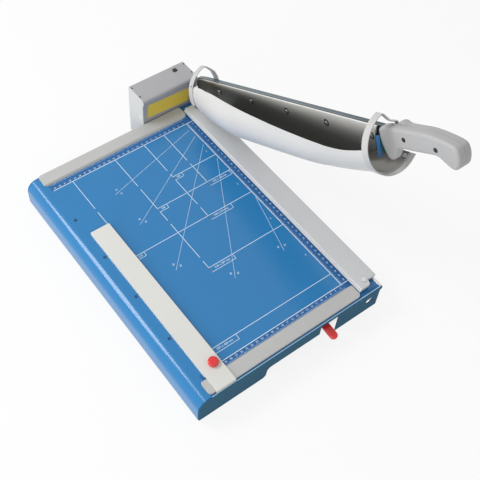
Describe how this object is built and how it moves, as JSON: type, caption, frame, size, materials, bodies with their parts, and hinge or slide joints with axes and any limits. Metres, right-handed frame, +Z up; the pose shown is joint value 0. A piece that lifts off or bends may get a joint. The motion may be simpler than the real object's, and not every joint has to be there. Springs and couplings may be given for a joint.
{
  "type": "guillotine paper cutter",
  "caption": "Guillotine paper cutter: a steel table with square stops, a hinged knife arm in a turning guard, a press bar, a side gauge and a laser line box.",
  "frame": {"origin": "middle of the back right foot's underside, on the desk", "axes": "+Z up from the desk, +Y along the cut towards the arm's hinge, +X across the cut away from the table"},
  "size_m": [0.3998, 0.6099, 0.4149],
  "materials": {
    "blue_paint": "satin powder coat",
    "dark_steel": "ground and darkened",
    "arm_paint": "satin",
    "bright_steel": "ground",
    "zinc_steel": "zinc plated",
    "stop_alloy": "satin anodised",
    "guard_grey": "fine satin",
    "press_grey": "satin",
    "gauge_grey": "satin",
    "handle_grey": "fine grain",
    "box_grey": "satin",
    "box_light": "satin",
    "red_plastic": "semi-gloss",
    "black_plastic": "satin",
    "black_rubber": "matt",
    "latch_blue": "satin",
    "latch_teal": "satin"
  },
  "bodies": {
    "base": {"table_top": "blue_paint", "front_skirt": "blue_paint", "back_skirt": "blue_paint", "edge_beam": "zinc_steel", "front_channel": "zinc_steel", "back_channel": "zinc_steel", "foot_back_right": "black_rubber", "foot_back_left": "black_rubber", "foot_front_right": "black_rubber", "foot_front_left": "black_rubber", "table_rivet_1": "bright_steel", "table_rivet_2": "bright_steel", "table_rivet_3": "bright_steel", "table_rivet_4": "bright_steel", "counter_knife": "bright_steel", "back_stop": "stop_alloy", "front_stop": "stop_alloy", "pivot_block": "zinc_steel", "pivot_bolt": "bright_steel", "pivot_collar": "bright_steel", "pivot_nut": "zinc_steel", "pivot_lock_nut": "zinc_steel", "lever_pin": "zinc_steel", "laser_housing": "box_grey", "laser_floor": "box_grey", "laser_end_left": "box_light", "laser_end_right": "box_light", "laser_lens": "black_plastic", "laser_bracket": "zinc_steel"},
    "arm": {"arm_bar": "arm_paint", "knife": "dark_steel", "knife_bolt_1": "bright_steel", "knife_bolt_2": "bright_steel", "knife_bolt_3": "bright_steel", "knife_bolt_4": "bright_steel", "knife_bolt_5": "bright_steel", "handle_left": "handle_grey", "handle_right": "handle_grey", "handle_screw_1": "dark_steel", "handle_screw_2": "dark_steel", "hoop_front": "guard_grey", "hoop_back": "guard_grey", "latch_strip": "latch_blue", "latch_cam": "latch_teal"},
    "guard": {"guard_trough": "guard_grey"},
    "press": {"press_bar": "press_grey", "press_bar_screw": "bright_steel", "press_pin_front": "bright_steel", "press_pin_back": "bright_steel"},
    "gauge": {"gauge_plate": "gauge_grey"},
    "knob": {"gauge_knob": "red_plastic", "gauge_stud": "zinc_steel"},
    "lever": {"lever_arm": "zinc_steel", "lever_grip": "red_plastic"},
    "button": {"laser_button": "black_plastic"}
  },
  "joints": [
    {"name": "arm_hinge", "type": "hinge", "parent": "base", "child": "arm", "pos_m": [0.04, 0.017, 0.069], "axis": [1, 0, 0], "range_deg": [0, 29]},
    {"name": "guard_turn", "type": "hinge", "parent": "arm", "child": "guard", "pos_m": [0.04, 0.02941, 0.09138], "axis": [0, -0.8746, 0.4848], "range_deg": [0, 245.2]},
    {"name": "press_slide", "type": "slide", "parent": "base", "child": "press", "axis": [0, 0, -1], "range_m": [0, 0.003]},
    {"name": "gauge_slide", "type": "slide", "parent": "base", "child": "gauge", "axis": [1, 0, 0], "range_m": [-0.0015, 0.245]},
    {"name": "knob_turn", "type": "hinge", "parent": "gauge", "child": "knob", "pos_m": [-0.269, -0.438, 0.0609], "axis": [0, 0, 1], "range_deg": [-45, 315]},
    {"name": "lever_swing", "type": "hinge", "parent": "base", "child": "lever", "pos_m": [-0.074, -0.452, 0.0325], "axis": [0, 0, 1], "range_deg": [-10, 16]},
    {"name": "laser_button_press", "type": "slide", "parent": "base", "child": "button", "axis": [0, 0, -1], "range_m": [0, 0.0012], "stiffness_N_per_m": 600}
  ],
  "couplings": [
    {"joint": "guard_turn", "follows": "arm_hinge", "ratio": 8.4483},
    {"joint": "press_slide", "follows": "arm_hinge", "m_per_rad": 0.0059262}
  ]
}
